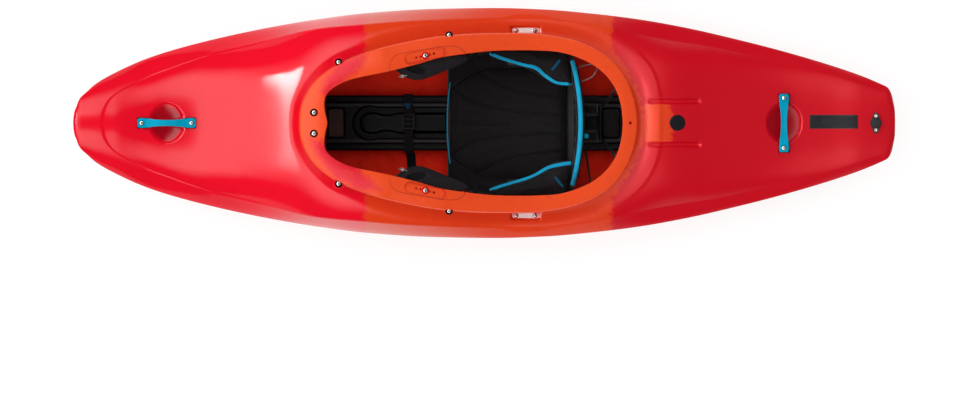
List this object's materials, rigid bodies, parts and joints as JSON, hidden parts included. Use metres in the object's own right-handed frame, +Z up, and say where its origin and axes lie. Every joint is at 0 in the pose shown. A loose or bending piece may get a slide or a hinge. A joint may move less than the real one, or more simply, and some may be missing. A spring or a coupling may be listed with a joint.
{
  "type": "whitewater kayak",
  "caption": "Short whitewater kayak: moulded shell with a raised cockpit coaming, grab handles, a drain plug, and a sliding seat, tilting backband, thigh braces and footrest inside.",
  "frame": {"origin": "on the flat of the hull's bottom, at the middle of the length and the width", "axes": "+X along the length towards the stern, +Y to starboard when the bow is at -X seen from above with +Y up the page, +Z up from the floor to the coaming"},
  "size_m": [2.258, 0.635, 0.398],
  "materials": {
    "shell_plastic": "glossy moulded plastic, red at both ends and orange over the middle",
    "black_plastic": "satin",
    "black_foam": "closed-cell foam, matt",
    "black_fabric": "woven cover over foam",
    "blue_fabric": "smooth binding tape",
    "blue_metal": "turquoise anodised",
    "red_metal": "red anodised",
    "steel": "stainless, fine turned",
    "aluminium": "mill finish",
    "white_plastic": "satin",
    "rubber": "matt",
    "webbing": "woven tape and cord"
  },
  "bodies": {
    "hull": {"hull_shell": "shell_plastic", "front_rim_bolt_left": "steel", "front_rim_bolt_right": "steel", "side_rim_bolt_left": "steel", "side_rim_bolt_right": "steel", "deck_bolt_left": "steel", "deck_bolt_right": "steel", "bow_handle": "blue_metal", "bow_handle_pad_front": "rubber", "bow_handle_pad_rear": "rubber", "bow_handle_screw_front": "steel", "bow_handle_screw_rear": "steel", "stern_handle": "blue_metal", "stern_handle_pad_left": "rubber", "stern_handle_pad_right": "rubber", "stern_handle_screw_left": "steel", "stern_handle_screw_right": "steel", "drain_housing": "black_plastic", "drain_screw_left": "steel", "drain_screw_right": "steel", "side_plate_left": "white_plastic", "side_plate_right": "white_plastic", "side_plate_bolt_left_front": "steel", "side_plate_bolt_left_rear": "steel", "side_plate_bolt_right_front": "steel", "side_plate_bolt_right_rear": "steel", "seat_bracket_left": "aluminium", "seat_bracket_right": "aluminium", "thigh_brace_washer_left": "red_metal", "thigh_brace_washer_right": "red_metal", "thigh_brace_bolt_left": "steel", "thigh_brace_bolt_right": "steel", "floor_beam": "black_foam", "beam_strap": "webbing", "bow_pillar": "black_foam", "stern_pillar": "black_foam", "rail_bracket_left": "black_plastic", "rail_bracket_right": "black_plastic", "rear_cord_left": "webbing", "rear_cord_right": "webbing"},
    "seat": {"seat_pan": "black_plastic", "seat_cushion": "black_fabric", "hip_pad_left": "black_fabric", "hip_pad_right": "black_fabric", "backband_pin": "steel"},
    "backband": {"backband": "black_fabric", "backband_binding": "blue_fabric", "backband_webbing": "webbing"},
    "footrest": {"footrest_plate": "black_plastic", "footrest_foam": "black_foam", "footrest_rail_left": "aluminium", "footrest_rail_right": "aluminium"},
    "brace_left": {"thigh_brace_left": "black_plastic", "thigh_brace_pad_left": "black_foam"},
    "brace_right": {"thigh_brace_right": "black_plastic", "thigh_brace_pad_right": "black_foam"},
    "brace_screw_left": {"brace_wing_screw_left": "steel"},
    "brace_screw_right": {"brace_wing_screw_right": "steel"},
    "drain_seal": {"drain_seal": "rubber"},
    "drain_plug": {"drain_plug": "black_plastic"}
  },
  "joints": [
    {"name": "seat_slide", "type": "slide", "parent": "hull", "child": "seat", "axis": [1, 0, 0], "range_m": [-0.01, 0.01]},
    {"name": "backband_tilt", "type": "hinge", "parent": "seat", "child": "backband", "pos_m": [0.264, 0, 0.08], "axis": [0, 1, 0], "range_deg": [0, 10]},
    {"name": "footrest_slide", "type": "slide", "parent": "hull", "child": "footrest", "axis": [1, 0, 0], "range_m": [-0.06, 0.06]},
    {"name": "thigh_brace_slide_left", "type": "slide", "parent": "hull", "child": "brace_left", "axis": [0.9497, -0.2165, -0.226], "range_m": [-0.022, 0.022]},
    {"name": "thigh_brace_slide_right", "type": "slide", "parent": "hull", "child": "brace_right", "axis": [0.9497, 0.2165, -0.226], "range_m": [-0.022, 0.022]},
    {"name": "brace_screw_turn_left", "type": "hinge", "parent": "brace_left", "child": "brace_screw_left", "pos_m": [-0.22887, -0.12836, 0.3618], "axis": [0.2204, -0.0502, 0.9741], "continuous": true},
    {"name": "brace_screw_turn_right", "type": "hinge", "parent": "brace_right", "child": "brace_screw_right", "pos_m": [-0.22887, 0.12836, 0.3618], "axis": [0.2204, 0.0502, 0.9741], "continuous": true},
    {"name": "drain_lift", "type": "slide", "parent": "hull", "child": "drain_seal", "axis": [0, 0, 1], "range_m": [0, 0.006]},
    {"name": "drain_plug_turn", "type": "hinge", "parent": "drain_seal", "child": "drain_plug", "pos_m": [1.07847, 0, 0], "axis": [0, 0, 1], "range_deg": [0, 720]}
  ],
  "couplings": [
    {"joint": "drain_lift", "follows": "drain_plug_turn", "m_per_rad": 0.00047746}
  ]
}
